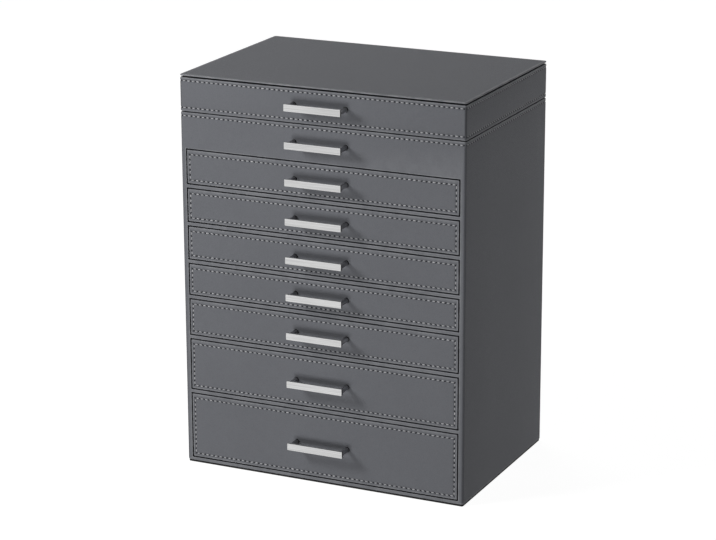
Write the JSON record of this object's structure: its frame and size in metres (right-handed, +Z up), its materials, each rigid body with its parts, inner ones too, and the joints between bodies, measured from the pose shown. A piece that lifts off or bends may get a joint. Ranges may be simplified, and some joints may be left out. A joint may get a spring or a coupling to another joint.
{
  "type": "jewellery box with drawers",
  "caption": "Upright jewellery chest wrapped in dark grey stitched leather, with a hinged mirrored lid over a well, a fixed front band and stacked drawers with bar pulls.",
  "frame": {"origin": "centre of the underside of the chest, on the surface it stands on", "axes": "+Z up, -Y out of the drawer fronts, +X to the right of someone facing the drawers"},
  "size_m": [0.325, 0.244, 0.43],
  "materials": {
    "grey_leather": "smooth grain, satin, tone-on-tone with pale grey stitching",
    "drawer_board": "fibreboard wrapped in matt black paper",
    "velvet": "short-pile velvet",
    "base_felt": "black felt",
    "mirror_glass": "silvered glass, polished edge",
    "brushed_metal": "brushed lengthwise",
    "fastener_steel": "plain zinc-plated"
  },
  "bodies": {
    "case": {"case_left_side": "grey_leather", "case_right_side": "grey_leather", "case_back": "grey_leather", "case_bottom": "grey_leather", "front_band": "grey_leather", "drawer_shelves": "grey_leather", "felt_base": "base_felt", "band_pull": "brushed_metal", "band_pull_screws": "fastener_steel", "well_lining": "velvet", "well_dividers": "velvet", "well_ring_rolls": "velvet", "case_hinge_leaves": "fastener_steel", "hinge_pins": "fastener_steel", "case_hinge_screws": "fastener_steel"},
    "lid": {"lid_top": "grey_leather", "lid_rim": "grey_leather", "lid_lining": "velvet", "lid_mirror": "mirror_glass", "lid_pull": "brushed_metal", "lid_pull_screws": "fastener_steel", "lid_hinge_leaves": "fastener_steel", "lid_hinge_screws": "fastener_steel"},
    "drawer_1": {"drawer_1_front": "grey_leather", "drawer_1_box": "drawer_board", "drawer_1_lining": "velvet", "drawer_1_pull": "brushed_metal", "drawer_1_pull_screws": "fastener_steel", "drawer_1_dividers": "velvet"},
    "drawer_2": {"drawer_2_front": "grey_leather", "drawer_2_box": "drawer_board", "drawer_2_lining": "velvet", "drawer_2_pull": "brushed_metal", "drawer_2_pull_screws": "fastener_steel", "drawer_2_dividers": "velvet"},
    "drawer_3": {"drawer_3_front": "grey_leather", "drawer_3_box": "drawer_board", "drawer_3_lining": "velvet", "drawer_3_pull": "brushed_metal", "drawer_3_pull_screws": "fastener_steel"},
    "drawer_4": {"drawer_4_front": "grey_leather", "drawer_4_box": "drawer_board", "drawer_4_lining": "velvet", "drawer_4_pull": "brushed_metal", "drawer_4_pull_screws": "fastener_steel"},
    "drawer_5": {"drawer_5_front": "grey_leather", "drawer_5_box": "drawer_board", "drawer_5_lining": "velvet", "drawer_5_pull": "brushed_metal", "drawer_5_pull_screws": "fastener_steel"},
    "drawer_6": {"drawer_6_front": "grey_leather", "drawer_6_box": "drawer_board", "drawer_6_lining": "velvet", "drawer_6_pull": "brushed_metal", "drawer_6_pull_screws": "fastener_steel"},
    "drawer_7": {"drawer_7_front": "grey_leather", "drawer_7_box": "drawer_board", "drawer_7_lining": "velvet", "drawer_7_pull": "brushed_metal", "drawer_7_pull_screws": "fastener_steel"}
  },
  "joints": [
    {"name": "lid_hinge", "type": "hinge", "parent": "case", "child": "lid", "pos_m": [0, 0.1129, 0.3903], "axis": [-1, 0, 0], "range_deg": [0, 100]},
    {"name": "drawer_1_slide", "type": "slide", "parent": "case", "child": "drawer_1", "axis": [0, -1, 0], "range_m": [0, 0.15]},
    {"name": "drawer_2_slide", "type": "slide", "parent": "case", "child": "drawer_2", "axis": [0, -1, 0], "range_m": [0, 0.15]},
    {"name": "drawer_3_slide", "type": "slide", "parent": "case", "child": "drawer_3", "axis": [0, -1, 0], "range_m": [0, 0.15]},
    {"name": "drawer_4_slide", "type": "slide", "parent": "case", "child": "drawer_4", "axis": [0, -1, 0], "range_m": [0, 0.15]},
    {"name": "drawer_5_slide", "type": "slide", "parent": "case", "child": "drawer_5", "axis": [0, -1, 0], "range_m": [0, 0.15]},
    {"name": "drawer_6_slide", "type": "slide", "parent": "case", "child": "drawer_6", "axis": [0, -1, 0], "range_m": [0, 0.15]},
    {"name": "drawer_7_slide", "type": "slide", "parent": "case", "child": "drawer_7", "axis": [0, -1, 0], "range_m": [0, 0.15]}
  ]
}
